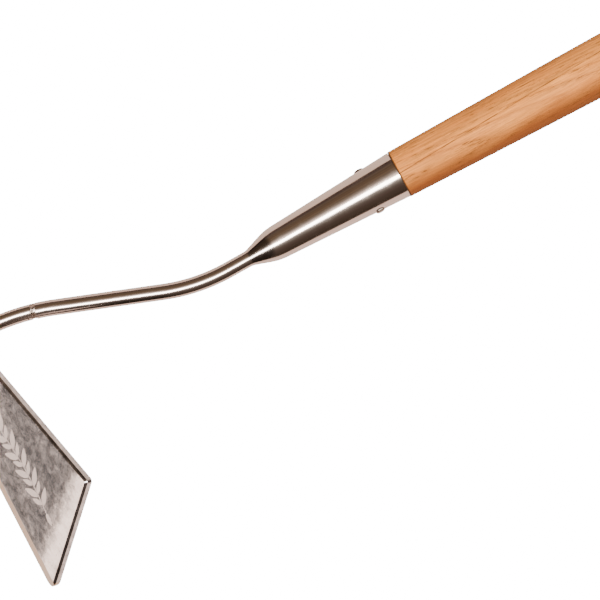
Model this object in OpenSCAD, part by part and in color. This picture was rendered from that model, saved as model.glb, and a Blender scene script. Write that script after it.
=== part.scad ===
// Swan-necked one-sided hoe, all lengths in millimetres.
// X runs along the handle towards the hand and Z is up as the tool lies on a floor, on its
// handle and the tall corner of its blade.

/* [Handle] */
// Radius of the handle where it is held
grip_r = 18; // [14:0.5:20]
// Length of wood from the socket mouth to the butt
handle_len = 1300; // [900:10:1500]
// Radius of the wood where it meets the socket
wood_mouth_r = 15.1; // [12:0.1:17]
// Distance from the mouth over which the wood swells to the grip
swell_len = 215; // [120:5:300]

/* [Socket] */
// Outer radius of the socket at its mouth
socket_mouth_r = 14.8; // [12:0.1:17]
// Outer radius of the socket where the nose begins
socket_small_r = 10.55; // [9:0.05:12]
// Length of the straight taper
socket_taper_len = 84; // [60:1:110]
// Length of the nose that closes down to the neck
socket_nose_len = 16.6; // [10:0.2:24]
// Wall of the socket
socket_wall = 1.6; // [1.2:0.1:2.4]
// Lean of the socket from the handle line, in degrees
socket_cant = 0.9; // [0:0.1:2]
// Distance of the rivet from the mouth
rivet_x = 20.2; // [15:0.1:35]
// Radius of the rivet shank
rivet_r = 2.5; // [2:0.1:3.5]

/* [Neck] */
// Radius of the neck rod at the socket
rod_r = 5; // [4:0.1:6]
// Radius of the neck rod at the blade
rod_low_r = 4.85; // [4:0.05:6]
// Distance from the mouth to the first bend
bend_1_x = 117.2; // [110:0.5:140]
// Radius of the first bend, on the rod's centre line
bend_1_r = 110; // [50:1:150]
// Angle of the neck from the handle line, in degrees
neck_angle = 20.8; // [10:0.2:35]
// Straight run between the bends
neck_run = 65.8; // [40:0.2:90]
// Radius of the second bend
bend_2_r = 135; // [80:1:180]
// Angle of the last straight from the handle line, in degrees
end_angle = 5; // [0:0.5:10]

/* [Blade] */
// Angle between the blade and the handle line, in degrees
blade_tilt = 46; // [35:1:60]
// Turn of the cutting edge from square, in degrees
blade_yaw = 0.5; // [0:0.1:4]
// Thickness of the plate
blade_t = 5.4; // [3:0.1:7]
// Length of the cutting edge
cut_len = 171; // [140:1:180]
// Height of the blade at its tall end
tall_h = 77.4; // [60:0.2:90]
// Set-back of the tall end's upper corner
tall_back = 40; // [15:0.2:45]
// Height of the blade at its narrow end
narrow_h = 34.6; // [28:0.2:40]
// Overhang of the narrow end's upper corner
narrow_out = 6; // [0:0.5:10]
// Width of the ground bevel
bevel_w = 10.2; // [6:0.2:14]
// Leg of the small chamfer along the back and the tall end
edge_chamfer = 1.1; // [0.4:0.1:1.5]
// Radius of the blade's corners
corner_r = 2.6; // [1:0.2:6]
// Radius of the corner where the cutting edge meets the tall end
toe_r = 7.4; // [2:0.2:12]
// How far the cutting edge is above the underside of the grip
edge_rise = 1; // [0:0.5:4]

/* [Hidden] */
$fn = 96;
// a straight run of rod laps into its bends by lap, and is a hair thicker so that the two join cleanly
lap = 0.4;
skin = 0.03;
// mid length of the cylindrical part of the handle, which is the origin
butt_round = 10;
grip_x = (swell_len + handle_len - butt_round) / 2;
fit_gap = 0.08;
tenon_len = 78;
rod_in = 86;
weld_deg = 1.3;
splice_deg = 15.2;
taper = (socket_mouth_r - socket_small_r) / socket_taper_len;
// neck points in the handle's plane: the ends of each bend and the bends' centres
p1 = [-bend_1_x * cos(socket_cant), -bend_1_x * sin(socket_cant)];
c1 = p1 + bend_1_r * [-sin(socket_cant), cos(socket_cant)];
p2 = c1 + bend_1_r * [-sin(neck_angle), -cos(neck_angle)];
p3 = p2 + neck_run * [-cos(neck_angle), sin(neck_angle)];
c2 = p3 + bend_2_r * [-sin(neck_angle), -cos(neck_angle)];
p4 = c2 + bend_2_r * [sin(end_angle), cos(end_angle)];
// lower corner of the tall end, on the back face
tip = [-301, -124.6, -grip_r + edge_rise];
// blade corners: distance from the cutting edge, distance along it
ca = [0, 0];
cb = [tall_h, tall_back];
cc = [narrow_h, cut_len + narrow_out];
cd = [0, cut_len];
// out of the blade's back face, and the way along the last straight of the neck to meet it
face_n = [-sin(blade_tilt) * cos(blade_yaw), sin(blade_tilt) * sin(blade_yaw), cos(blade_tilt)];
end_d = [-cos(end_angle), sin(end_angle), 0];
end_len = (face_n * (tip - [p4[0], p4[1], 0])) / (face_n * end_d);

module place() {
    translate([-grip_x, 0, 0])
        children();
}

// turns a lathe profile, drawn as [distance along -X, radius], about the X axis
module lathe_back() {
    rotate([0, -90, 0])
        rotate_extrude()
            children();
}

module rivet_hole(r) {
    translate([-rivet_x, 0, 0])
        rotate([90, 0, 0])
            cylinder(r = r, h = 60, center = true);
}

// ---------- handle ----------
module handle_body() {
    rotate([0, 90, 0])
        rotate_extrude()
            polygon([[0, 0],
                [wood_mouth_r - 0.5, 0],
                [wood_mouth_r, 0.6],
                [wood_mouth_r + 1.0, 60],
                [wood_mouth_r + 2.05, 120],
                [grip_r - 0.4, 150],
                [grip_r - 0.12, 180],
                [grip_r, swell_len],
                [grip_r, handle_len - butt_round],
                [grip_r - 0.8, handle_len - 6.5],
                [grip_r - 2.6, handle_len - 3.4],
                [grip_r - 5.2, handle_len - 1.3],
                [grip_r - 8.4, handle_len - 0.3],
                [grip_r - 11, handle_len],
                [0, handle_len]]);
}

module tenon() {
    r0 = socket_mouth_r - socket_wall - fit_gap;
    r1 = r0 - taper * tenon_len;
    rotate([0, 0, socket_cant])
        lathe_back()
            polygon([[0, -0.5],
                [r0, -0.5],
                [r0, 0],
                [r1, tenon_len],
                [0, tenon_len]]);
}

module ash_handle() {
    color("#d9a066")
        place() {
            difference() {
                union() {
                    handle_body();
                    tenon();
                }
                rotate([0, 0, socket_cant])
                    rivet_hole(rivet_r + 0.05);
            }
        }
}

// ---------- socket ----------
// outer radius of the socket at distance d from the mouth, on the taper
function socket_r(d) = socket_mouth_r - taper * d;

module socket() {
    n0 = socket_taper_len;
    w = socket_wall;
    color("#c8c8cc")
        place()
            rotate([0, 0, socket_cant])
                difference() {
                    lathe_back()
                        polygon([[socket_r(0) - w, 0.25],
                            [socket_r(0) - 0.3, 0.25],
                            [socket_r(0.6), 0.6],
                            [socket_small_r, n0],
                            [socket_small_r - 0.45, n0 + 3],
                            [socket_small_r - 1.3, n0 + 6.4],
                            [socket_small_r - 2.45, n0 + 10],
                            [socket_small_r - 3.75, n0 + 13.6],
                            [rod_r + 1.1, n0 + socket_nose_len],
                            [rod_r + 0.05, n0 + socket_nose_len],
                            [rod_r + 0.05, n0 + 7],
                            [socket_small_r - w - 1.6, n0 + 3.6],
                            [socket_small_r - w, n0 - 2]]);
                    rivet_hole(rivet_r + 0.05);
                }
}

module rivet_head(side) {
    // base of the head, sunk a little into the taper it sits on
    base = socket_r(rivet_x) - 0.42;
    translate([-rivet_x, 0, 0])
        rotate([side * -90, 0, 0])
            translate([0, 0, base])
                rotate_extrude()
                    polygon([[0, 0],
                        [3.05, 0.18],
                        [3.0, 0.65],
                        [2.7, 0.98],
                        [2.2, 1.25],
                        [1.5, 1.44],
                        [0.8, 1.53],
                        [0, 1.56]]);
}

module socket_rivet() {
    color("#b8b8bc")
        place()
            rotate([0, 0, socket_cant])
                difference() {
                    union() {
                        translate([-rivet_x, 0, 0])
                            rotate([90, 0, 0])
                                cylinder(r = rivet_r, h = 2 * socket_r(rivet_x) - 0.4, center = true);
                        rivet_head(1);
                        rivet_head(-1);
                    }
                    // the heads sit on the socket, so its taper is taken off their undersides
                    difference() {
                        lathe_back()
                            polygon([[0, rivet_x - 8],
                                [socket_r(rivet_x - 8), rivet_x - 8],
                                [socket_r(rivet_x + 8), rivet_x + 8],
                                [0, rivet_x + 8]]);
                        translate([-rivet_x, 0, 0])
                            rotate([90, 0, 0])
                                cylinder(r = rivet_r, h = 60, center = true);
                    }
                }
}

// ---------- neck ----------
module nose_weld() {
    x0 = socket_taper_len + socket_nose_len;
    color("#a9a39a")
        place()
            rotate([0, 0, socket_cant])
                lathe_back()
                    polygon([[rod_r + skin, x0],
                        [rod_r + 1.1, x0],
                        [rod_r + 0.7, x0 + 0.7],
                        [rod_r + 0.3, x0 + 1.5],
                        [rod_r + skin, x0 + 2.6]]);
}

// a bent stretch of rod: centre, bend radius, rod radius, first angle, sweep
module bend(c, br, r, a0, sweep) {
    translate([c[0], c[1], 0])
        rotate([0, 0, a0])
            rotate_extrude(angle = sweep, $fn = 360)
                translate([br, 0])
                    circle(r = r, $fn = 96);
}

// the last straight of the neck, from its start, with Z along it
module end_line() {
    translate([p4[0], p4[1], 0])
        rotate([0, 0, 180 - end_angle])
            rotate([0, 90, 0])
                children();
}

// everything on the blade's side of its back face
module face_side() {
    blade_frame()
        translate([-60, -60, 0])
            cube([220, 320, 80]);
}

module neck_rod_upper() {
    color("#c8c8cc")
        place() {
            rotate([0, 0, socket_cant])
                translate([-bend_1_x - lap, 0, 0])
                    rotate([0, 90, 0])
                        cylinder(r = rod_r + skin, h = bend_1_x + lap - rod_in);
            bend(c1, bend_1_r, rod_r, 270 - neck_angle, neck_angle + socket_cant);
            translate([p3[0], p3[1], 0])
                rotate([0, 0, -neck_angle])
                    rotate([0, 90, 0])
                        translate([0, 0, -lap])
                            cylinder(r = rod_r + skin, h = neck_run + 2 * lap);
            bend(c2, bend_2_r, rod_r, 90 - neck_angle, neck_angle - splice_deg - weld_deg / 2);
        }
}

module neck_splice_weld() {
    color("#a9a39a")
        place()
            bend(c2, bend_2_r, rod_r + 0.08, 90 - splice_deg - weld_deg / 2, weld_deg);
}

module neck_rod_lower() {
    color("#c8c8cc")
        place() {
            bend(c2, bend_2_r, rod_low_r, 90 - splice_deg + weld_deg / 2, splice_deg - weld_deg / 2 - end_angle);
            difference() {
                end_line()
                    translate([0, 0, -lap])
                        cylinder(r = rod_low_r + skin, h = end_len + 20);
                face_side();
            }
        }
}

module blade_weld() {
    color("#a9a39a")
        place()
            difference() {
                end_line()
                    translate([0, 0, end_len - 10])
                        cylinder(r1 = rod_low_r, r2 = rod_low_r + 4.2, h = 22);
                end_line()
                    cylinder(r = rod_low_r + skin, h = end_len + 30);
                face_side();
            }
}

// ---------- blade ----------
// blade frame: X from the cutting edge to the back edge, Y along the edge, Z out of the face
module blade_frame() {
    translate(tip)
        rotate([0, 0, -blade_yaw])
            rotate([0, -blade_tilt, 0])
                children();
}

// what is taken off a corner p of the outline, between neighbours q and r, to round it
module corner_off(q, p, r, cr = corner_r) {
    a = (q - p) / norm(q - p);
    b = (r - p) / norm(r - p);
    m = (a + b) / norm(a + b);
    half = acos(a * b) / 2;
    t = cr / tan(half);
    o = p + m * cr / sin(half);
    translate([0, 0, -1])
        difference() {
            linear_extrude(height = blade_t + 2)
                polygon([p - 0.4 * cr * m, p + a * t, o, p + b * t]);
            translate([o[0], o[1], -1])
                cylinder(r = cr, h = blade_t + 4);
        }
}

// what is taken off the face along the side p to q, to chamfer it
module side_off(p, q) {
    d = q - p;
    c = edge_chamfer;
    translate([p[0], p[1], 0])
        rotate([0, 0, atan2(d[1], d[0])])
            rotate([90, 0, 90])
                translate([0, 0, -3])
                    linear_extrude(height = norm(d) + 6)
                        polygon([[-1, blade_t - c - 1],
                            [c + 1, blade_t + 1],
                            [-1, blade_t + 1]]);
}

module blade() {
    lip = 0.3;
    g = (blade_t - lip) / bevel_w;
    color("#bdbdc0")
        place()
            blade_frame()
                difference() {
                    linear_extrude(height = blade_t)
                        polygon([ca, cb, cc, cd]);
                    // the ground bevel that makes the cutting edge
                    translate([0, cut_len + 20, 0])
                        rotate([90, 0, 0])
                            linear_extrude(height = cut_len + 40)
                                polygon([[-5, lip - 5 * g],
                                    [bevel_w, blade_t],
                                    [bevel_w, blade_t + 2],
                                    [-5, blade_t + 2]]);
                    corner_off(cd, ca, cb, toe_r);
                    corner_off(ca, cb, cc);
                    corner_off(cb, cc, cd);
                    corner_off(cc, cd, ca);
                    side_off(ca, cb);
                    side_off(cb, cc);
                    side_off(cc, cd);
                }
}

ash_handle();
socket();
socket_rivet();
nose_weld();
neck_rod_upper();
neck_splice_weld();
neck_rod_lower();
blade_weld();
blade();
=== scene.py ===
"""The looks of the one-sided swan-neck hoe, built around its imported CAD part.

Every CAD node is stood in for by a finer mesh of the same size. Lengths are in millimetres
until a mesh is made. Tool coordinates have their origin at the socket's mouth, on the handle's
line, with X towards the hand. The row frame is the same, moved along X to the grip's middle.
"""

import math

import bmesh
import bpy
from mathutils import Matrix, Vector, noise


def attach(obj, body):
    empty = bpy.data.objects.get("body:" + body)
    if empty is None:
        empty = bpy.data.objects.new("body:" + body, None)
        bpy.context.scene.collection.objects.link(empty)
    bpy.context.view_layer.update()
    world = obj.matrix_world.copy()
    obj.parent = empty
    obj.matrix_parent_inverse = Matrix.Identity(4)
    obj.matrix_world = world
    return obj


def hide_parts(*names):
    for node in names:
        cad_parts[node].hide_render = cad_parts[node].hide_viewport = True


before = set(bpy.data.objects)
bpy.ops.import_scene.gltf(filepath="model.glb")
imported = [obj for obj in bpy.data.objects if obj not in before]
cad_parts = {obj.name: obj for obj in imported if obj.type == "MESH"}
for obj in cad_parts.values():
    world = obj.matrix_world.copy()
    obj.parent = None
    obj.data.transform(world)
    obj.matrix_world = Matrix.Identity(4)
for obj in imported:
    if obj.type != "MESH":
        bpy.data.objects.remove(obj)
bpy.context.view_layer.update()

# ---------- sizes ----------
MM = 0.001
HANDLE_LEN = 1300
BUTT_ROUND = 10
SWELL_LEN = 215
GRIP_R = 18
WOOD_MOUTH_R = 15.1
MOUTH_SLOPE = 0.0176
TENON_GAP = 0.1
MOUTH_X = -(SWELL_LEN + HANDLE_LEN - BUTT_ROUND) / 2

SOCKET_MOUTH_R = 14.8
SOCKET_SMALL_R = 10.55
SOCKET_TAPER = 84
SOCKET_NOSE = 16.6
SOCKET_WALL = 1.6
MOUTH_LIP = 0.25
CANT = math.radians(0.9)
RIVET_X = 20.2

ROD_R = 5
ROD_LOW_R = 4.85
OVAL = 0.045
OVAL_TURN = math.radians(148.5)
BEND_1_X = 117.2
BEND_1_R = 110
NECK_ANGLE = math.radians(20.8)
NECK_RUN = 65.8
BEND_2_R = 135
SPLICE_ANGLE = math.radians(15.2)
SPLICE_SWEEP = math.radians(1.3)
SPLICE_TOP = SPLICE_ANGLE + SPLICE_SWEEP / 2
SPLICE_LOW = SPLICE_ANGLE - SPLICE_SWEEP / 2
END_ANGLE = math.radians(5)
TANG = 86
FILLET_LEG = 2.3

BLADE_TILT = math.radians(46)
BLADE_YAW = math.radians(0.5)
BLADE_T = 5.4
CUT_LEN = 171
TALL_H = 77.4
TALL_BACK = 40
NARROW_H = 34.6
NARROW_OUT = 6
BEVEL_W = 10.2
LIP = 0.3
CHAMFER = 1.1
CHAMFER_DEEP = 1.75
SOFT_EDGE = 0.16
CORNER_R = 2.6
TOE_R = 7.4
EDGE_RISE = 1
TIP = Vector((-301, -124.6, -GRIP_R + EDGE_RISE))

STEM_UP = 33
STEM_START = 42
STEM_LEN = 88
STEM_W = 0.7
LEAF_TURN = 0.75
ETCH_LIFT = 0.02

# ---------- camera ----------
ROLL = math.radians(28.35)
LEAN = math.radians(13.5)
FIELD = 360
CAMERA_AWAY = 5000
SENSOR = 36
AIM_ALONG = -88.0
AIM_ACROSS = 38.1

TO_CAMERA = Vector((0, -math.sin(LEAN), math.cos(LEAN)))
DOWN_SIDE = Vector((0, -math.cos(LEAN), -math.sin(LEAN)))

TO_ROW = Matrix.Translation((MOUTH_X, 0, 0))
CANTED = Matrix.Rotation(CANT, 4, "Z")
BACKWARD = Matrix(((-1, 0, 0, 0), (0, -1, 0, 0), (0, 0, 1, 0), (0, 0, 0, 1)))
BLADE_FRAME = (
    Matrix.Translation(TIP)
    @ Matrix.Rotation(-BLADE_YAW, 4, "Z")
    @ Matrix.Rotation(-BLADE_TILT, 4, "Y")
)


# ---------- mesh helpers ----------
def add_piece(name, mesh, node, material, sharp=40):
    """Puts a mesh, made in tool coordinates and millimetres, into the scene. If it stands in
    for a CAD node, node names it."""
    mesh.transform(Matrix.Scale(MM, 4) @ TO_ROW)
    mesh.shade_smooth()
    mesh.set_sharp_from_angle(angle=math.radians(sharp))
    mesh.materials.append(material)
    obj = bpy.data.objects.new(name, mesh)
    bpy.context.scene.collection.objects.link(obj)
    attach(obj, "root")
    if node:
        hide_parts(node)
    return obj


def tube_mesh(name, rings, closed=False, capped=True):
    """A mesh through rings of points, each ring going round the same way."""
    count = len(rings[0])
    points = [p for ring in rings for p in ring]
    faces = []
    last = len(rings) if closed else len(rings) - 1
    for i in range(last):
        a = i * count
        b = ((i + 1) % len(rings)) * count
        for j in range(count):
            k = (j + 1) % count
            faces.append((a + j, a + k, b + k, b + j))
    if capped and not closed:
        faces.append(tuple(reversed(range(count))))
        faces.append(tuple(range((len(rings) - 1) * count, len(rings) * count)))
    mesh = bpy.data.meshes.new(name)
    mesh.from_pydata(points, [], faces)
    recalculate(mesh)
    return mesh


def recalculate(mesh):
    """Turns every face outwards."""
    bm = bmesh.new()
    bm.from_mesh(mesh)
    bmesh.ops.recalc_face_normals(bm, faces=bm.faces)
    bm.to_mesh(mesh)
    bm.free()
    mesh.update()


def lathe_mesh(name, profile, place=None, segments=160, closed=False):
    """Turns (distance, radius) points about the X axis, with place applied after."""
    rings = []
    for along, radius in profile:
        ring = []
        for j in range(segments):
            a = 2 * math.pi * j / segments
            ring.append(Vector((along, radius * math.cos(a), radius * math.sin(a))))
        rings.append(ring)
    mesh = tube_mesh(name, rings, closed=closed)
    if place:
        mesh.transform(place)
        recalculate(mesh)
    return mesh


def smooth_through(points, steps):
    """Points of a smooth curve through the given (x, y) points."""
    out = []
    for i in range(len(points) - 1):
        before = points[max(i - 1, 0)]
        start, end = points[i], points[i + 1]
        after = points[min(i + 2, len(points) - 1)]
        for k in range(steps):
            t = k / steps
            value = []
            for c in range(2):
                m0 = (end[c] - before[c]) / 2
                m1 = (after[c] - start[c]) / 2
                h = (2 * t**3 - 3 * t**2 + 1) * start[c] + (t**3 - 2 * t**2 + t) * m0
                h += (-2 * t**3 + 3 * t**2) * end[c] + (t**3 - t**2) * m1
                value.append(h)
            out.append(tuple(value))
    out.append(points[-1])
    return out


def quarter_round(centre, radius, first, last, steps=6):
    """Points of an arc about a (distance, radius) centre, between two angles in degrees."""
    out = []
    for k in range(steps + 1):
        a = math.radians(first + (last - first) * k / steps)
        out.append((centre[0] + radius * math.cos(a), centre[1] + radius * math.sin(a)))
    return out


# ---------- the neck's centre line ----------
def heading(angle):
    """The way along the neck, away from the hand, at an angle from the handle's line."""
    return Vector((-math.cos(angle), math.sin(angle), 0))


def inward(angle):
    """Across the neck at that angle, towards +Y."""
    return Vector((math.sin(angle), math.cos(angle), 0))


BEND_1_START = Vector((-BEND_1_X * math.cos(CANT), -BEND_1_X * math.sin(CANT), 0))
BEND_1_CENTRE = BEND_1_START + BEND_1_R * inward(-CANT)
BEND_1_END = BEND_1_CENTRE - BEND_1_R * inward(NECK_ANGLE)
BEND_2_START = BEND_1_END + NECK_RUN * heading(NECK_ANGLE)
BEND_2_CENTRE = BEND_2_START - BEND_2_R * inward(NECK_ANGLE)
BEND_2_END = BEND_2_CENTRE + BEND_2_R * inward(END_ANGLE)
FACE_NORMAL = BLADE_FRAME.to_3x3() @ Vector((0, 0, 1))
END_LEN = FACE_NORMAL.dot(TIP - BEND_2_END) / FACE_NORMAL.dot(heading(END_ANGLE))


def straight(start, angle, length, step=2.0):
    """(point, angle) pairs along a straight run of the neck."""
    count = max(2, int(length / step))
    return [(start + heading(angle) * length * k / count, angle) for k in range(count + 1)]


def first_bend(step=math.radians(1)):
    """(point, angle) pairs round the bend next to the socket, without its two ends."""
    count = int((NECK_ANGLE + CANT) / step)
    out = []
    for k in range(1, count):
        a = -CANT + (NECK_ANGLE + CANT) * k / count
        out.append((BEND_1_CENTRE - BEND_1_R * inward(a), a))
    return out


def second_bend(a0, a1, count=18):
    """(point, angle) pairs round the bend next to the blade, from one angle to another."""
    out = []
    for k in range(count + 1):
        a = a0 + (a1 - a0) * k / count
        out.append((BEND_2_CENTRE + BEND_2_R * inward(a), a))
    return out


def rod_rings(path, radius, segments=96):
    """Rings of points about a path of (point, angle) pairs. radius is a number or a function of
    the ring's number and the angle round it."""
    rings = []
    for i, (point, angle) in enumerate(path):
        side, up = inward(angle), Vector((0, 0, 1))
        ring = []
        for j in range(segments):
            a = 2 * math.pi * j / segments
            r = radius(i, a) if callable(radius) else radius
            ring.append(point + r * (math.cos(a) * side + math.sin(a) * up))
        rings.append(ring)
    return rings


def cut_by_back_face(mesh):
    """Takes off everything on the blade's side of its back face, and closes the cut."""
    bm = bmesh.new()
    bm.from_mesh(mesh)
    cut_off(bm, TIP, FACE_NORMAL)
    bm.to_mesh(mesh)
    bm.free()


def cut_off(bm, point, normal):
    """Takes off everything beyond a plane, and closes the cut."""
    geometry = bm.verts[:] + bm.edges[:] + bm.faces[:]
    made = bmesh.ops.bisect_plane(
        bm, geom=geometry, dist=1e-5, plane_co=point, plane_no=normal, clear_outer=True
    )
    edges = [g for g in made["geom_cut"] if isinstance(g, bmesh.types.BMEdge)]
    if edges:
        bmesh.ops.contextual_create(bm, geom=edges)


# ---------- material helpers ----------
class Nodes:
    """Short names for making and joining a material's nodes."""

    def __init__(self, tree):
        self.tree = tree

    def add(self, kind, inputs=None, **settings):
        node = self.tree.nodes.new(kind)
        for key, value in settings.items():
            setattr(node, key, value)
        for key, value in (inputs or {}).items():
            self.put(node.inputs[key], value)
        return node

    def put(self, socket, value):
        if isinstance(value, bpy.types.NodeSocket):
            self.tree.links.new(value, socket)
        else:
            socket.default_value = value

    def math(self, operation, a, b=0.0):
        return self.add("ShaderNodeMath", {0: a, 1: b}, operation=operation).outputs[0]

    def scaled(self, vector, factors):
        node = self.add("ShaderNodeVectorMath", {0: vector, 1: factors}, operation="MULTIPLY")
        return node.outputs[0]

    def turned(self, vector, angle, axis):
        node = self.add(
            "ShaderNodeVectorRotate", {"Vector": vector, "Angle": angle}, rotation_type=axis
        )
        return node.outputs[0]

    def dot(self, vector, direction):
        node = self.add(
            "ShaderNodeVectorMath", {0: vector, 1: tuple(direction)}, operation="DOT_PRODUCT"
        )
        return node.outputs["Value"]

    def noise(self, vector, scale, detail=3.0, roughness=0.5, distortion=0.0):
        node = self.add(
            "ShaderNodeTexNoise",
            {
                "Vector": vector,
                "Scale": scale,
                "Detail": detail,
                "Roughness": roughness,
                "Distortion": distortion,
            },
        )
        return node.outputs[0]

    def remap(self, value, low, high, to_low=0.0, to_high=1.0, smooth=False):
        node = self.add(
            "ShaderNodeMapRange",
            {
                "Value": value,
                "From Min": low,
                "From Max": high,
                "To Min": to_low,
                "To Max": to_high,
            },
        )
        node.interpolation_type = "SMOOTHSTEP" if smooth else "LINEAR"
        return node.outputs[0]

    def ramp(self, value, stops):
        node = self.add("ShaderNodeValToRGB", {"Fac": value})
        elements = node.color_ramp.elements
        while len(elements) < len(stops):
            elements.new(0.5)
        for element, (place, colour) in zip(elements, stops):
            element.position = place
            element.color = (*colour, 1)
        return node.outputs["Color"]

    def mix(self, factor, a, b, blend="MIX"):
        node = self.add("ShaderNodeMix", data_type="RGBA", blend_type=blend)
        self.put(node.inputs[0], factor)
        self.put(node.inputs[6], a)
        self.put(node.inputs[7], b)
        return node.outputs[2]

    def bump(self, height, distance, strength=1.0, normal=None):
        node = self.add(
            "ShaderNodeBump", {"Height": height, "Distance": distance, "Strength": strength}
        )
        if normal:
            self.put(node.inputs["Normal"], normal)
        return node.outputs[0]


def new_material(name):
    material = bpy.data.materials.new(name)
    material.use_nodes = True
    material.node_tree.nodes.clear()
    nodes = Nodes(material.node_tree)
    shader = nodes.add("ShaderNodeBsdfPrincipled")
    output = nodes.add("ShaderNodeOutputMaterial")
    material.node_tree.links.new(shader.outputs[0], output.inputs[0])
    where = nodes.add("ShaderNodeTexCoord").outputs["Object"]
    return material, nodes, shader, where


# ---------- materials ----------
WOOD = {
    "pale": (0.76, 0.285, 0.054, 1),
    "ring": (0.40, 0.135, 0.024, 1),
    "cloud": (0.50, 0.150, 0.026, 1),
    "dark fibre": (0.30, 0.105, 0.024, 1),
    "light fibre": (0.80, 0.330, 0.095, 1),
    "streak": (0.38, 0.150, 0.034, 1),
    # painted shade: the colour that the handle's lower side is darkened towards
    "painted shade below": (0.17, 0.045, 0.012, 1),
    "pore": (0.11, 0.040, 0.010, 1),
    "crack": (0.05, 0.018, 0.006, 1),
    # end: painted shadow in the gap where the wood meets the socket's mouth
    "end": (0.03, 0.015, 0.008, 1),
}
# How dark a growth ring is by how far through it, then the rings' and the crack's sizes in
# millimetres and their slopes along the handle.
RING_DARK = [(0.0, 0.85), (0.06, 0.65), (0.28, 0.18), (0.65, 0.06), (0.92, 0.25), (1.0, 0.85)]
RING_GAP = 2.1
RING_SLOPE = 0.06
RING_WOBBLE = 2.2
RING_DRIFT = 6.0
CRACK_DOWN = 0.3
CRACK_SLOPE = 0.052
CRACK_WOBBLE = 1.2

STEEL = (0.64, 0.565, 0.515)
RIVET_STEEL = (0.34, 0.29, 0.25)

PLATE = {
    "dark": (0.36, 0.357, 0.365, 1),
    "light": (0.75, 0.745, 0.765, 1),
    "scratch": (0.80, 0.75, 0.72, 1),
    "nick": (1.0, 0.95, 0.92, 1),
    "pit": (0.08, 0.065, 0.06, 1),
    "ground": (0.62, 0.50, 0.37, 1),
}
SCRATCH_SLANT = 0.7
# The bow of the blade's tall end, in millimetres from the toe, on a line that slants with height.
BOW_RISE = 5.6
BOW_SLANT = 0.42
BOW_START = 26
BOW_END = -12


def ring_phase(n, where, along, down, wobble):
    """How far a point is through its growth ring, from 0 to 1."""
    out = n.dot(where, TO_CAMERA)
    drift = n.noise(n.scaled(where, (3, 25, 25)), 1.0, 2.0, 0.5)
    depth = n.math("ADD", n.math("MULTIPLY", out, 0.93), n.math("MULTIPLY", down, 0.37))
    depth = n.math("SUBTRACT", depth, n.math("MULTIPLY", along, RING_SLOPE))
    depth = n.math("ADD", depth, n.math("MULTIPLY", wobble, RING_WOBBLE * MM))
    depth = n.math("ADD", depth, n.math("MULTIPLY", drift, RING_DRIFT * MM))
    return n.math("FRACT", n.math("MULTIPLY", depth, 1 / (RING_GAP * MM)))


def wood_pores(n, where, phase):
    """Short open pores, thickest where a growth ring begins."""
    pores = n.noise(n.scaled(where, (150, 1900, 1900)), 1.0, 2.0, 0.6)
    pores = n.remap(pores, 0.53, 0.60)
    open_grain = n.noise(n.scaled(where, (30, 160, 160)), 1.0, 2.0, 0.5)
    pores = n.math("MULTIPLY", pores, n.remap(phase, 0.6, 0.0, 0.25, 1.0))
    return n.math("MULTIPLY", pores, n.remap(open_grain, 0.38, 0.58, 0.25, 1.0))


def wood_crack(n, where, along, down, wobble):
    """One hair crack that slants along the handle and breaks off in places."""
    line = n.math("ADD", down, n.math("MULTIPLY", along, CRACK_SLOPE))
    line = n.math("ADD", line, n.math("MULTIPLY", wobble, CRACK_WOBBLE * MM))
    line = n.math("ABSOLUTE", n.math("SUBTRACT", line, CRACK_DOWN * MM))
    crack = n.remap(line, 0.14 * MM, 0.40 * MM, 1.0, 0.0)
    broken = n.noise(n.scaled(where, (70, 8, 8)), 1.0, 2.0, 0.5)
    return n.math("MULTIPLY", crack, n.remap(broken, 0.38, 0.55, 0.15, 0.85))


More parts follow.
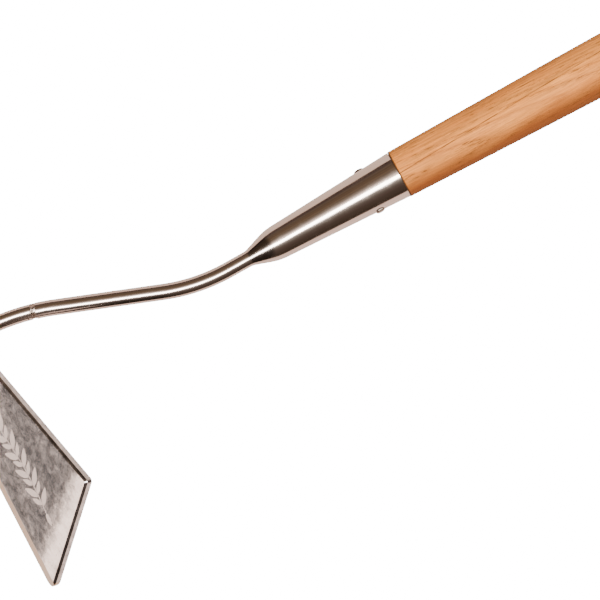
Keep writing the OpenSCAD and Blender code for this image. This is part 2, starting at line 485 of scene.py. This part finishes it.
def wood_material():
    """Lacquered ash. The growth rings lie almost flat under the face that carries the pointed
    arches, and slope along the handle, so that they run out as long straight lines beside them."""
    material, n, shader, where = new_material("ash_wood")
    along = n.math("ADD", n.dot(where, (1, 0, 0)), -MOUTH_X * MM)
    down = n.dot(where, DOWN_SIDE)
    wobble = n.noise(n.scaled(where, (11, 90, 90)), 1.0, 3.0, 0.55)
    phase = ring_phase(n, where, along, down, wobble)
    band = n.ramp(phase, [(place, (dark, dark, dark)) for place, dark in RING_DARK])
    pores = wood_pores(n, where, phase)
    crack = wood_crack(n, where, along, down, wobble)
    fibres = n.noise(n.scaled(where, (35, 1500, 1500)), 1.0, 4.0, 0.65)
    cloud = n.noise(n.scaled(where, (16, 60, 60)), 1.0, 3.0, 0.55)
    streaks = n.noise(n.scaled(where, (14, 620, 620)), 1.0, 3.0, 0.6)
    # Painted shade: the handle's lower side, away from the light, is darkened towards a deep brown,
    # with a cloudy edge.
    lower_side = n.math("ADD", down, n.math("MULTIPLY", cloud, 6 * MM))
    painted_low_shade = n.remap(lower_side, 7.5 * MM, 16 * MM)
    # Painted shadow: the first millimetre of wood at the socket's mouth is darkened almost to
    # black, for the shade in the gap between the parts.
    painted_mouth_shadow = n.remap(along, 0.5 * MM, 1.1 * MM, 0.92, 0.0)

    colour = n.mix(band, WOOD["pale"], WOOD["ring"])
    colour = n.mix(n.remap(cloud, 0.42, 0.68, 0.0, 0.55), colour, WOOD["cloud"])
    colour = n.mix(n.remap(fibres, 0.42, 0.68, 0.0, 0.65), colour, WOOD["dark fibre"])
    colour = n.mix(n.remap(fibres, 0.45, 0.25, 0.0, 0.45), colour, WOOD["light fibre"])
    colour = n.mix(n.remap(streaks, 0.48, 0.64, 0.0, 0.6), colour, WOOD["streak"])
    colour = n.mix(n.math("MULTIPLY", painted_low_shade, 0.9), colour, WOOD["painted shade below"])
    colour = n.mix(pores, colour, WOOD["pore"])
    colour = n.mix(crack, colour, WOOD["crack"])
    colour = n.mix(painted_mouth_shadow, colour, WOOD["end"])
    n.put(shader.inputs["Base Color"], colour)
    n.put(shader.inputs["Roughness"], n.remap(fibres, 0.3, 0.7, 0.42, 0.58))
    n.put(shader.inputs["Specular IOR Level"], 0.025)
    n.put(shader.inputs["Coat Weight"], 0.02)
    n.put(shader.inputs["Coat Roughness"], 0.3)
    height = n.math("SUBTRACT", n.math("MULTIPLY", fibres, 0.3), n.math("MULTIPLY", pores, 0.6))
    n.put(shader.inputs["Normal"], n.bump(height, 0.15 * MM, 0.8))
    return material


def steel_material(name, tint, roughness, grain, waves, specks):
    """Stainless steel. grain scales the fine scratches along each axis, waves is the height in
    millimetres of the slow unevenness that bends its reflections, specks is how many small pits."""
    material, n, shader, where = new_material(name)
    lines = n.noise(n.scaled(where, grain), 1.0, 4.0, 0.65)
    slow = n.noise(where, 55.0, 2.0, 0.5)
    smudge = n.noise(where, 130.0, 4.0, 0.6)
    pits = n.remap(n.noise(where, 900.0, 1.0, 0.5), 0.80 - specks, 0.84 - specks)
    darker = [c * 0.82 for c in tint]
    colour = n.mix(n.remap(lines, 0.35, 0.7, 0.0, 0.3), (*tint, 1), (*darker, 1))
    colour = n.mix(n.math("MULTIPLY", pits, 0.8), colour, (0.05, 0.04, 0.035, 1))
    n.put(shader.inputs["Base Color"], colour)
    n.put(shader.inputs["Metallic"], 1.0)
    rough = n.math("ADD", n.remap(lines, 0.3, 0.7, -0.03, 0.05), roughness)
    rough = n.math("ADD", rough, n.remap(smudge, 0.45, 0.75, 0.0, 0.07))
    n.put(shader.inputs["Roughness"], rough)
    fine = n.bump(lines, 0.004 * MM)
    n.put(shader.inputs["Normal"], n.bump(slow, waves * MM, normal=fine))
    return material


def blade_axes(n, where):
    """A point's place in the blade's own axes, from its toe: up the plate, along the cutting
    edge, and out of the face."""
    to_toe = tuple(-v for v in TO_ROW @ TIP * MM)
    moved = n.add("ShaderNodeVectorMath", {0: where, 1: to_toe}, operation="ADD").outputs[0]
    return n.turned(n.turned(moved, BLADE_YAW, "Z_AXIS"), BLADE_TILT, "Y_AXIS")


def bevel_mask(n, flat):
    """1 on the ground bevel and 0 on the rest of the blade."""
    up = n.dot(flat, (1, 0, 0))
    level = n.dot(flat, (0, 0, 1))
    below_face = n.remap(level, (BLADE_T - 0.25) * MM, (BLADE_T - 0.15) * MM, 1.0, 0.0)
    near_edge = n.remap(up, (BEVEL_W - 0.1) * MM, (BEVEL_W + 0.1) * MM, 1.0, 0.0)
    return n.math("MULTIPLY", below_face, near_edge)


def end_bow(n, flat):
    """A height that rises ever faster towards the tall end."""
    from_end = n.dot(flat, (-BOW_SLANT, 1, 0))
    rise = n.remap(from_end, BOW_START * MM, BOW_END * MM)
    return n.math("MULTIPLY", rise, rise)


def blade_material():
    """Tumbled plate: cloudy, crossed with faint scratches both ways, with small nicks. The plate
    is a hair out of flat towards its tall end, which catches more light."""
    material, n, shader, where = new_material("blade_steel")
    flat = blade_axes(n, where)
    slanted = n.turned(flat, SCRATCH_SLANT, "Z_AXIS")
    along = n.noise(n.scaled(flat, (1500, 90, 900)), 1.0, 4.0, 0.65)
    across = n.noise(n.scaled(slanted, (90, 1500, 900)), 1.0, 4.0, 0.65)
    cloud = n.noise(flat, 160.0, 5.0, 0.65, 0.4)
    blotch = n.noise(flat, 45.0, 3.0, 0.5)
    nicks = n.remap(n.noise(flat, 1100.0, 1.0, 0.5), 0.70, 0.74)
    pits = n.remap(n.noise(slanted, 800.0, 1.0, 0.5), 0.735, 0.765)

    colour = n.mix(n.remap(cloud, 0.32, 0.68), PLATE["dark"], PLATE["light"])
    colour = n.mix(n.remap(across, 0.55, 0.75, 0.0, 0.5), colour, PLATE["scratch"])
    colour = n.mix(n.math("MULTIPLY", nicks, 0.8), colour, PLATE["nick"])
    colour = n.mix(n.math("MULTIPLY", pits, 0.8), colour, PLATE["pit"])
    colour = n.mix(bevel_mask(n, flat), colour, PLATE["ground"])
    n.put(shader.inputs["Base Color"], colour)
    n.put(shader.inputs["Metallic"], 1.0)
    rough = n.remap(cloud, 0.3, 0.7, 0.14, 0.22)
    rough = n.math("ADD", rough, n.remap(along, 0.3, 0.7, -0.02, 0.04))
    n.put(shader.inputs["Roughness"], rough)
    fine = n.bump(n.math("ADD", along, across), 0.012 * MM)
    clouded = n.math("ADD", blotch, n.math("MULTIPLY", cloud, 0.10))
    uneven = n.bump(clouded, 0.35 * MM, normal=fine)
    n.put(shader.inputs["Normal"], n.bump(end_bow(n, flat), BOW_RISE * MM, normal=uneven))
    return material


def weld_material():
    """Ground weld: darker, rougher, with faint ripples and a brown heat tint."""
    material, n, shader, where = new_material("weld_metal")
    lumps = n.noise(where, 700.0, 4.0, 0.6)
    tint = n.noise(where, 220.0, 2.0, 0.5)
    colour = n.mix(n.remap(tint, 0.35, 0.7), (0.42, 0.35, 0.31, 1), (0.20, 0.15, 0.11, 1))
    n.put(shader.inputs["Base Color"], colour)
    n.put(shader.inputs["Metallic"], 1.0)
    n.put(shader.inputs["Roughness"], n.remap(lumps, 0.3, 0.7, 0.2, 0.38))
    n.put(shader.inputs["Normal"], n.bump(lumps, 0.2 * MM))
    return material


def etched_material():
    """Frosted, light metal where the face is etched."""
    material, n, shader, where = new_material("etched_steel")
    frost = n.noise(where, 4000.0, 2.0, 0.6)
    n.put(shader.inputs["Base Color"], n.mix(frost, (0.62, 0.52, 0.48, 1), (0.78, 0.68, 0.64, 1)))
    n.put(shader.inputs["Metallic"], 0.6)
    n.put(shader.inputs["Roughness"], n.remap(frost, 0.3, 0.7, 0.55, 0.75))
    n.put(shader.inputs["Normal"], n.bump(frost, 0.02 * MM))
    return material


# ---------- pieces ----------
def wood_radius(x):
    """The handle's radius at distance x from the mouth: an even swell that eases into the grip."""
    if x >= SWELL_LEN:
        return GRIP_R
    t = x / SWELL_LEN
    start_slope = MOUTH_SLOPE * SWELL_LEN
    radius = (2 * t**3 - 3 * t**2 + 1) * WOOD_MOUTH_R
    radius += (t**3 - 2 * t**2 + t) * start_slope
    radius += (-2 * t**3 + 3 * t**2) * GRIP_R
    return radius


def make_handle(material):
    tenon = (0.0, SOCKET_MOUTH_R - SOCKET_WALL - TENON_GAP)
    edge = [(0.0, WOOD_MOUTH_R - 0.25), (0.08, WOOD_MOUTH_R - 0.08), (0.2, wood_radius(0.2))]
    profile = [tenon] + edge
    x = 2.0
    while x < HANDLE_LEN - BUTT_ROUND:
        profile.append((x, wood_radius(x)))
        x += 4 if x < SWELL_LEN else 12
    butt = (HANDLE_LEN - BUTT_ROUND, GRIP_R - BUTT_ROUND)
    profile += quarter_round(butt, BUTT_ROUND, 90, 0, steps=10)
    mesh = lathe_mesh("ash_handle_skin", profile, segments=192)
    add_piece("handle", mesh, "ash_handle", material, sharp=50)


def socket_radius(x):
    """The socket's outer radius at distance x from its mouth."""
    return SOCKET_MOUTH_R - (SOCKET_MOUTH_R - SOCKET_SMALL_R) / SOCKET_TAPER * x


def make_socket(material):
    tip = SOCKET_TAPER + SOCKET_NOSE
    shoulder = [
        (SOCKET_TAPER - 6, socket_radius(SOCKET_TAPER - 6)),
        (SOCKET_TAPER, SOCKET_SMALL_R - 0.06),
        (SOCKET_TAPER + 4, SOCKET_SMALL_R - 0.68),
        (SOCKET_TAPER + 8, SOCKET_SMALL_R - 1.78),
        (SOCKET_TAPER + 12, SOCKET_SMALL_R - 3.15),
        (tip - 1, ROD_R + 1.15),
        (tip, ROD_R + 0.85),
    ]
    lip = quarter_round((0.28, socket_radius(0) - MOUTH_LIP), MOUTH_LIP, 180, 90)
    body = [(6 + 6 * k, socket_radius(6 + 6 * k)) for k in range(12)]
    outside = lip + body + smooth_through(shoulder, 6)
    inside = [
        (tip, ROD_R + 0.05),
        (SOCKET_TAPER, SOCKET_SMALL_R - SOCKET_WALL - 2),
        (0.03, socket_radius(0) - SOCKET_WALL),
    ]
    mesh = lathe_mesh("socket_skin", outside + inside, CANTED @ BACKWARD, closed=True)
    add_piece("socket_tube", mesh, "socket", material)


def rivet_rings(side):
    """A domed head with a small flat, hammered a little out of true."""
    base = socket_radius(RIVET_X)
    shape = [(-0.6, 3.0), (0.25, 3.05), (0.5, 2.95), (0.75, 2.7), (0.95, 2.3), (1.07, 1.8)]
    shape += [(1.12, 1.2), (1.14, 0.6), (1.14, 0.05)]
    segments = 48
    rings = []
    for height, radius in shape:
        ring = []
        for j in range(segments):
            a = 2 * math.pi * j / segments
            wobble = 1 + 0.03 * math.sin(2 * a + side) + 0.02 * math.sin(3 * a)
            r = radius * wobble
            out = side * (base + height)
            ring.append(Vector((-RIVET_X + r * math.cos(a), out, r * math.sin(a))))
        rings.append(ring)
    return rings


def make_rivet(material):
    bm = bmesh.new()
    for side in (1, -1):
        part = tube_mesh("head", rivet_rings(side))
        bm.from_mesh(part)
        bpy.data.meshes.remove(part)
    mesh = bpy.data.meshes.new("rivet_skin")
    bm.to_mesh(mesh)
    bm.free()
    mesh.transform(CANTED)
    recalculate(mesh)
    add_piece("rivet", mesh, "socket_rivet", material, sharp=60)


def make_nose_weld(material):
    """A low bead that eases the nose into the rod."""
    x0 = SOCKET_TAPER + SOCKET_NOSE
    outer = [(x0 - 0.6, ROD_R + 0.99), (x0, ROD_R + 0.83), (x0 + 0.8, ROD_R + 0.55)]
    outer += [(x0 + 1.7, ROD_R + 0.28), (x0 + 2.8, ROD_R + 0.09), (x0 + 3.8, ROD_R + 0.01)]
    sunk = [(x0 + 3.8, ROD_R - 0.3), (x0 - 0.6, ROD_R - 0.3)]
    profile = smooth_through(outer, 4) + sunk
    mesh = lathe_mesh("nose_weld_skin", profile, CANTED @ BACKWARD, closed=True)
    add_piece("nose_bead", mesh, "nose_weld", material)


def make_neck(steel, weld):
    make_upper_rod(steel)
    make_lower_rod(steel)
    make_splice_bead(weld)


def make_upper_rod(steel):
    tang = Vector((-TANG * math.cos(CANT), -TANG * math.sin(CANT), 0))
    path = straight(tang, -CANT, BEND_1_X - TANG) + first_bend()
    path += straight(BEND_1_END, NECK_ANGLE, NECK_RUN)
    path += second_bend(NECK_ANGLE, SPLICE_TOP)[1:]
    mesh = tube_mesh("neck_upper_skin", rod_rings(path, ROD_R))
    add_piece("neck_upper", mesh, "neck_rod_upper", steel)


def make_lower_rod(steel):
    """The lower rod, hammered a little oval, run past the back face and cut off flush with it."""
    path = second_bend(SPLICE_LOW, END_ANGLE)
    path += straight(BEND_2_END, END_ANGLE, END_LEN + 12)[1:]

    def hammered(i, a):
        return ROD_LOW_R * (1 - OVAL * math.cos(2 * (a - OVAL_TURN)))

    mesh = tube_mesh("neck_lower_skin", rod_rings(path, hammered))
    cut_by_back_face(mesh)
    recalculate(mesh)
    add_piece("neck_lower", mesh, "neck_rod_lower", steel)


def make_splice_bead(weld):
    """The ground ring of weld between the rods, with two low spots beside each other."""
    steps = 26
    path = second_bend(SPLICE_TOP + 0.006, SPLICE_LOW - 0.022, steps)

    def bead_radius(i, a):
        spread = math.sin(math.pi * i / steps)
        place = Vector((i * 0.35, 2.6 * math.cos(a), 2.6 * math.sin(a)))
        notch = 0.8 * math.exp(-(((a - math.radians(140)) / 0.42) ** 2))
        notch += 0.5 * math.exp(-(((a - math.radians(192)) / 0.3) ** 2))
        return ROD_LOW_R - 0.1 + spread * (0.12 + 0.45 * noise.noise(place) - notch)

    mesh = tube_mesh("splice_skin", rod_rings(path, bead_radius))
    add_piece("splice_bead", mesh, "neck_splice_weld", weld)


def fillet_ends(around, meet, axis):
    """Where the fillet meets the back face's corner, the face and the rod, at one place round."""
    on_rod = meet + ROD_LOW_R * around
    on_rod += axis * (FACE_NORMAL.dot(meet - on_rod) / FACE_NORMAL.dot(axis))
    away = around - FACE_NORMAL * around.dot(FACE_NORMAL)
    away.normalize()
    angle = math.atan2(around.z, around.dot(inward(END_ANGLE)))
    ripple = 1 + 0.10 * abs(math.sin(angle * 11)) + 0.06 * noise.noise(3 * around)
    leg = FILLET_LEG * ripple
    return on_rod, on_rod + away * leg, on_rod - axis * leg * 1.25


def make_blade_weld(material):
    """A fillet round the rod where it meets the back face, laid in overlapping ripples."""
    axis = heading(END_ANGLE)
    meet = BEND_2_END + axis * END_LEN
    segments, steps, fullness = 120, 12, 0.65
    ends = []
    for j in range(segments):
        a = 2 * math.pi * j / segments
        around = math.cos(a) * inward(END_ANGLE) + math.sin(a) * Vector((0, 0, 1))
        ends.append(fillet_ends(around, meet, axis))
    rings = []
    for k in range(steps + 1):
        t = k / steps
        ring = []
        for corner, foot, top in ends:
            middle = corner * fullness + (top + foot) * 0.5 * (1 - fullness)
            ring.append(top * (1 - t) ** 2 + middle * 2 * t * (1 - t) + foot * t**2)
        rings.append(ring)
    rings.append([p - (p - meet) * 0.25 for p in rings[-1]])
    mesh = tube_mesh("blade_weld_skin", rings)
    add_piece("blade_bead", mesh, "blade_weld", material)


def blade_outline():
    """The blade's outline in its own plane, as (height, along) points with rounded corners."""
    corners = [
        Vector((0, 0)),
        Vector((TALL_H, TALL_BACK)),
        Vector((NARROW_H, CUT_LEN + NARROW_OUT)),
        Vector((0, CUT_LEN)),
    ]
    radii = [TOE_R, CORNER_R, CORNER_R, CORNER_R]
    steps = 12
    out = []
    for i, (p, radius) in enumerate(zip(corners, radii)):
        a = (corners[i - 1] - p).normalized()
        b = (corners[(i + 1) % 4] - p).normalized()
        half = a.angle(b) / 2
        centre = p + (a + b).normalized() * radius / math.sin(half)
        start = p + a * radius / math.tan(half) - centre
        end = p + b * radius / math.tan(half) - centre
        sweep = start.angle_signed(end)
        for k in range(steps + 1):
            out.append(centre + Matrix.Rotation(-sweep * k / steps, 2) @ start)
    return out


def leaf(base, way, length, width, steps=12):
    """A pointed leaf with its base at a point, as a closed outline in the blade's plane."""
    side = Vector((-way.y, way.x))
    points = []
    for k in range(steps + 1):
        t = k / steps
        points.append((t, width / 2 * math.sin(math.pi * t) ** 0.8 * (1.2 - 0.4 * t)))
    near = [base + way * length * t + side * w for t, w in points]
    far = [base + way * length * t - side * w for t, w in reversed(points[1:-1])]
    return near + far


def sprig_stem(steps):
    """The gently waving line of the stem, in the blade's plane."""
    stem = []
    for k in range(steps + 1):
        t = k / steps
        up = STEM_UP + 2.2 * math.sin(5 * t) - 3 * t
        stem.append(Vector((up, STEM_START + STEM_LEN * t)))
    return stem


def sprig_outlines():
    """The closed outlines of the stem's bits and of its leaves, which stand in pairs."""
    steps = 40
    stem = sprig_stem(steps)
    ways = [(stem[i + 1] - stem[i]).normalized() for i in range(steps)]
    outlines = []
    for i, way in enumerate(ways):
        side = Vector((-way.y, way.x)) * STEM_W / 2
        outlines.append([stem[i] - side, stem[i + 1] - side, stem[i + 1] + side, stem[i] + side])
    for i in range(2, 38, 3):
        turn = LEAF_TURN if i % 2 else -LEAF_TURN
        leaf_way = Matrix.Rotation(turn, 2) @ ways[i]
        other_way = Matrix.Rotation(-turn, 2) @ ways[i]
        outlines.append(leaf(stem[i], leaf_way, 12.5, 4.2))
        outlines.append(leaf(stem[i] + ways[i] * 1.2, other_way, 9.0, 3.2))
    outlines.append(leaf(stem[0], -ways[0], 9.0, 3.4))
    return outlines


def make_sprig(material):
    """A plain sprig of leaves etched on the face, in the place of any lettering."""
    points, faces = [], []
    for outline in sprig_outlines():
        faces.append(tuple(range(len(points), len(points) + len(outline))))
        points += [(q.x, q.y, BLADE_T + ETCH_LIFT) for q in outline]
    mesh = bpy.data.meshes.new("etched_sprig")
    mesh.from_pydata(points, [], faces)
    mesh.transform(BLADE_FRAME)
    recalculate(mesh)
    add_piece("etched_sprig", mesh, None, material)


def plate(outline):
    """A flat plate of the blade's thickness, in its own plane."""
    bm = bmesh.new()
    low = [bm.verts.new((p.x, p.y, 0)) for p in outline]
    high = [bm.verts.new((p.x, p.y, BLADE_T)) for p in outline]
    count = len(outline)
    bm.faces.new(low)
    bm.faces.new(high)
    for i in range(count):
        j = (i + 1) % count
        bm.faces.new((low[i], low[j], high[j], high[i]))
    bmesh.ops.recalc_face_normals(bm, faces=bm.faces)
    return bm


def chamfer(bm, outline):
    """Slopes off the face's edge all round, except along the cutting edge."""
    slope = Vector((0, 0, CHAMFER))
    for i, p in enumerate(outline):
        q = outline[(i + 1) % len(outline)]
        along = (q - p).normalized()
        on_cutting_edge = p.x < 1e-3 and q.x < 1e-3
        if along.length < 0.5 or on_cutting_edge:
            continue
        out = Vector((along.y, -along.x, 0))
        foot = Vector((p.x, p.y, BLADE_T - CHAMFER_DEEP))
        cut_off(bm, foot, out * CHAMFER_DEEP + slope)


def make_blade(material):
    outline = blade_outline()
    bm = plate(outline)
    bevel_slope = (BLADE_T - LIP) / BEVEL_W
    cut_off(bm, Vector((0, 0, LIP)), Vector((-bevel_slope, 0, 1)))
    chamfer(bm, outline)
    mesh = bpy.data.meshes.new("blade_skin")
    bm.to_mesh(mesh)
    bm.free()
    mesh.transform(BLADE_FRAME)
    obj = add_piece("blade_plate", mesh, "blade", material, sharp=25)
    soften_edges(obj)


def soften_edges(obj):
    bevel = obj.modifiers.new("soft_edges", "BEVEL")
    bevel.width = SOFT_EDGE * MM
    bevel.segments = 2
    bevel.limit_method = "ANGLE"
    bevel.angle_limit = math.radians(22)
    bevel.harden_normals = False


# ---------- light and camera ----------
# The light of the room in front of the tool, by degrees round the handle from the camera's side.
ROOM = [
    (-88, (0.09, 0.055, 0.045)),
    (-78, (0.12, 0.08, 0.065)),
    (-70, (0.14, 0.095, 0.08)),
    (-64, (0.21, 0.145, 0.10)),
    (-58, (0.15, 0.10, 0.07)),
    (-51, (0.22, 0.145, 0.085)),
    (-45, (0.17, 0.11, 0.08)),
    (-39, (0.28, 0.19, 0.11)),
    (-34, (0.21, 0.15, 0.11)),
    (-28, (0.30, 0.22, 0.16)),
    (-22, (0.42, 0.34, 0.28)),
    (-17, (0.65, 0.52, 0.46)),
    (-11, (1.5, 1.2, 1.05)),
    (-5, (3.0, 2.4, 2.1)),
    (14, (3.0, 2.5, 2.2)),
    (20, (0.60, 0.53, 0.48)),
    (29, (0.30, 0.26, 0.23)),
    (39, (0.17, 0.135, 0.11)),
    (49, (0.145, 0.10, 0.083)),
    (60, (0.11, 0.078, 0.06)),
    (74, (0.10, 0.068, 0.052)),
    (84, (0.08, 0.055, 0.04)),
    (100, (0.10, 0.07, 0.055)),
]
# How it falls off away from straight across the handle, with a strip light far out.
ROOM_ALONG = [
    (0.0, 1.0),
    (0.30, 1.0),
    (0.44, 0.3),
    (0.62, 0.3),
    (0.68, 1.6),
    (0.74, 1.6),
    (0.80, 0.3),
    (0.9, 0.5),
]
GLOW_AHEAD = (0.21, 0.19, 0.18, 1)
BACKDROP_HIGH = (1.40, 1.04, 0.86, 1)
BACKDROP_LOW = (1.62, 1.18, 1.0, 1)
BRIGHT_AHEAD = 4.6
SEEN_WHITE = (18.0, 18.0, 18.0, 1)

# The key's sizes and distance are in metres.
KEY_LONG = 5.0
KEY_WIDE = 0.60
KEY_AWAY = 2.2
KEY_POWER = 205
KEY_COLOUR = (1.0, 0.97, 0.94)
KEY_LEAN = math.radians(-5)


def backdrop_mask(n, front, across, ahead):
    """1 where the white backdrop begins behind the tool, 0 in front. It comes further round
    ahead of the blade and less far round below."""
    below = n.math("MAXIMUM", across, 0.0)
    depth = n.math("ADD", n.math("MULTIPLY", across, 0.029), front)
    depth = n.math("ADD", depth, n.math("MULTIPLY", below, 0.11))
    reach = n.math("MULTIPLY", n.math("MULTIPLY", ahead, ahead), 0.29)
    depth = n.math("ADD", depth, reach)
    soft = n.math("ADD", n.math("MULTIPLY", ahead, 0.06), 0.012)
    white = n.math("DIVIDE", n.math("MULTIPLY", depth, -1.0), soft)
    return n.remap(white, -1.0, 1.0, smooth=True)


def room_light(n, front, across, along, ahead):
    """The dim warm room, from its lists of light."""
    turn = n.math("ARCTAN2", across, front)
    turn = n.math("ADD", n.math("MULTIPLY", turn, 1 / (2 * math.pi)), 0.5)
    room = n.ramp(turn, [(0.5 + degrees / 360, colour) for degrees, colour in ROOM])
    off_axis = n.math("ABSOLUTE", along)
    dim = n.ramp(off_axis, [(place, (v, v, v)) for place, v in ROOM_ALONG])
    room = n.mix(1.0, room, dim, "MULTIPLY")
    glow = n.remap(ahead, 0.85, 0.95, smooth=True)
    return n.mix(glow, room, GLOW_AHEAD)


def backdrop_light(n, across, ahead):
    light = n.mix(n.remap(across, -0.2, 0.5), BACKDROP_HIGH, BACKDROP_LOW)
    return n.scaled(light, n.remap(ahead, 0.80, 0.93, 1.0, BRIGHT_AHEAD, smooth=True))


def make_world():
    """A white backdrop behind the tool and a dim warm room in front of it. The camera itself
    sees plain white all round."""
    world = bpy.data.worlds.new("studio")
    bpy.context.scene.world = world
    world.use_nodes = True
    world.node_tree.nodes.clear()
    n = Nodes(world.node_tree)
    way = n.add("ShaderNodeTexCoord").outputs["Generated"]
    front = n.dot(way, TO_CAMERA)
    across = n.dot(way, DOWN_SIDE)
    along = n.dot(way, (1, 0, 0))
    ahead = n.math("MAXIMUM", n.math("MULTIPLY", along, -1.0), 0.0)
    room = room_light(n, front, across, along, ahead)
    white = backdrop_mask(n, front, across, ahead)
    colour = n.mix(white, room, backdrop_light(n, across, ahead))
    seen = n.add("ShaderNodeLightPath").outputs["Is Camera Ray"]
    colour = n.mix(seen, colour, SEEN_WHITE)
    background = n.add("ShaderNodeBackground", {"Color": colour, "Strength": 1.0})
    output = n.add("ShaderNodeOutputWorld")
    world.node_tree.links.new(background.outputs[0], output.inputs[0])


def aim_point():
    """The point in the middle of the picture, in metres."""
    return (Vector((MOUTH_X + AIM_ALONG, 0, 0)) + DOWN_SIDE * AIM_ACROSS) * MM


def stand(side, up, back, place):
    """The matrix of an object at a place with its X, Y and Z axes along side, up and back."""
    return Matrix(
        (
            (side.x, up.x, back.x, place.x),
            (side.y, up.y, back.y, place.y),
            (side.z, up.z, back.z, place.z),
            (0, 0, 0, 1),
        )
    )


def make_key():
    """A long softbox beside the camera."""
    light = bpy.data.lights.new("key", "AREA")
    light.shape = "RECTANGLE"
    light.size = KEY_LONG
    light.size_y = KEY_WIDE
    light.energy = KEY_POWER
    light.color = KEY_COLOUR
    key = bpy.data.objects.new("key", light)
    bpy.context.scene.collection.objects.link(key)
    back = TO_CAMERA * math.cos(KEY_LEAN) - DOWN_SIDE * math.sin(KEY_LEAN)
    side = Vector((1, 0, 0))
    key.matrix_world = stand(side, back.cross(side), back, aim_point() + back * KEY_AWAY)
    key.visible_camera = False


def make_camera():
    camera = bpy.data.objects.new("camera", bpy.data.cameras.new("camera"))
    bpy.context.scene.collection.objects.link(camera)
    camera.data.sensor_width = SENSOR
    camera.data.lens = SENSOR * CAMERA_AWAY / FIELD
    camera.data.clip_end = 100
    right = Vector((math.cos(ROLL), 0, 0)) + DOWN_SIDE * math.sin(ROLL)
    up = Vector((math.sin(ROLL), 0, 0)) - DOWN_SIDE * math.cos(ROLL)
    place = aim_point() + TO_CAMERA * CAMERA_AWAY * MM
    camera.matrix_world = stand(right, up, TO_CAMERA, place)
    bpy.context.scene.camera = camera


# ---------- build ----------
weld = weld_material()
socket_steel = steel_material("socket_steel", STEEL, 0.10, (40, 900, 900), 0.06, 0.0)
neck_steel = steel_material("neck_steel", STEEL, 0.12, (50, 900, 900), 0.08, 0.01)
rivet_steel = steel_material("rivet_steel", RIVET_STEEL, 0.16, (700, 700, 700), 0.3, 0.03)

make_handle(wood_material())
make_socket(socket_steel)
make_rivet(rivet_steel)
make_nose_weld(neck_steel)
make_neck(neck_steel, weld)
make_blade_weld(weld)
make_blade(blade_material())
make_sprig(etched_material())
make_world()
make_key()
make_camera()
